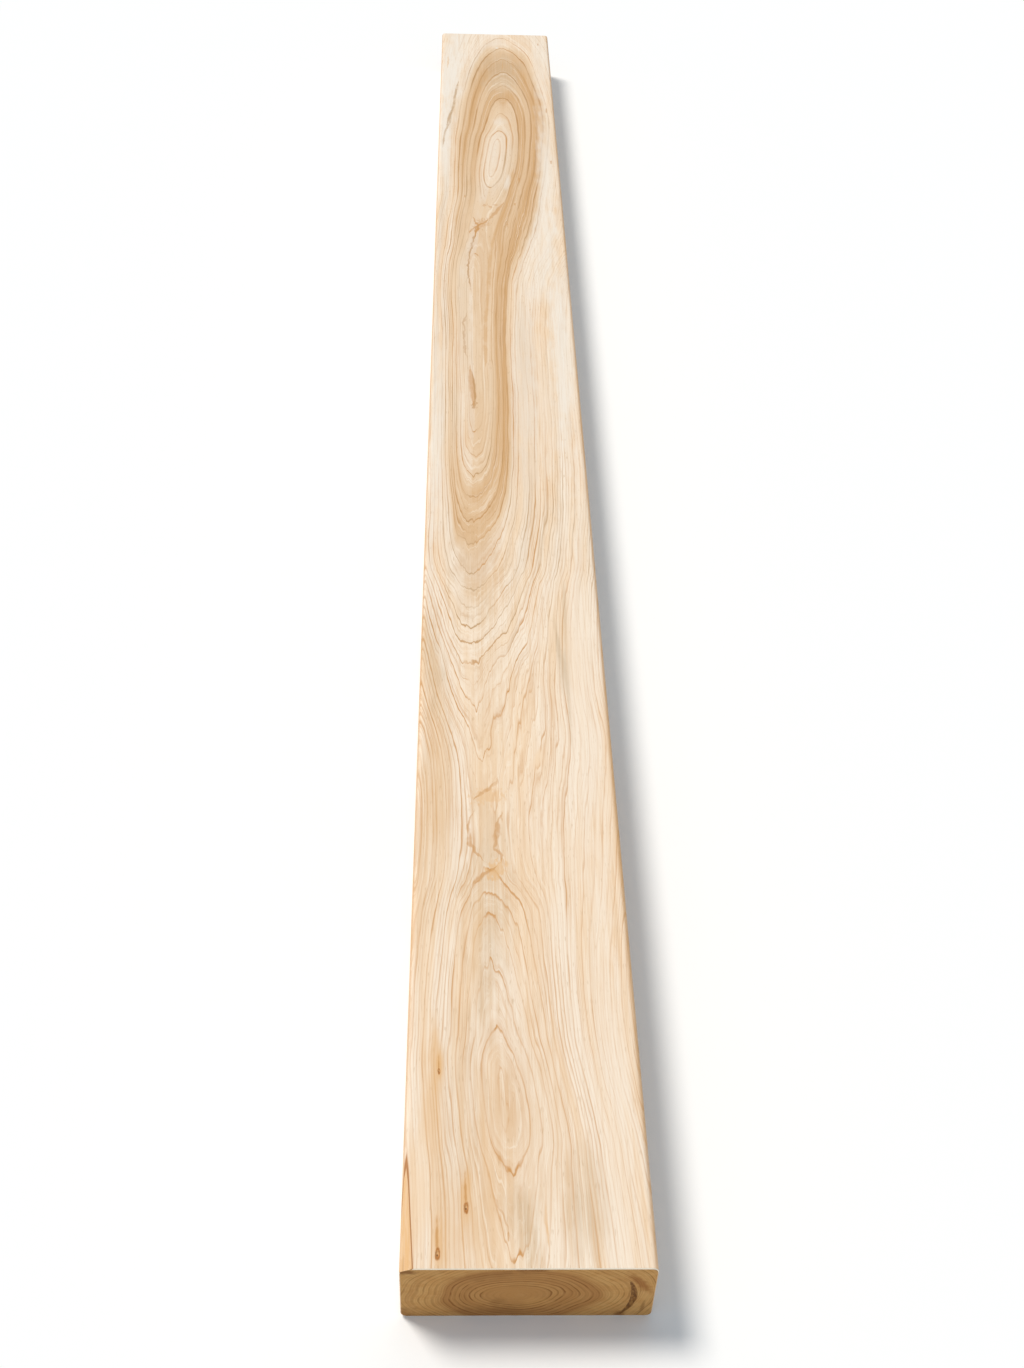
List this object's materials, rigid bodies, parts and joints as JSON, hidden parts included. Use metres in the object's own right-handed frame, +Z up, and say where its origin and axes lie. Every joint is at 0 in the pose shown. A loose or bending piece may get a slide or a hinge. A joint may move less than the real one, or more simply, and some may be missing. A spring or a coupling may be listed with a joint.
{
  "type": "timber plank",
  "caption": "Straight planed timber plank of solid wood, with eased long edges, square-cut ends and a small corner of wane, for framing, shelving and joinery.",
  "frame": {"origin": "middle of the underside, on the surface that the plank lies on", "axes": "+Y along the length, away from the end with the wane; +X across the width; +Z up through the thickness"},
  "size_m": [0.12, 1.5, 0.045],
  "materials": {
    "timber": "planed and lightly sanded, unsealed, pale sapwood with tan growth rings and darker end grain"
  },
  "bodies": {
    "root": {"plank": "timber"}
  },
  "joints": []
}
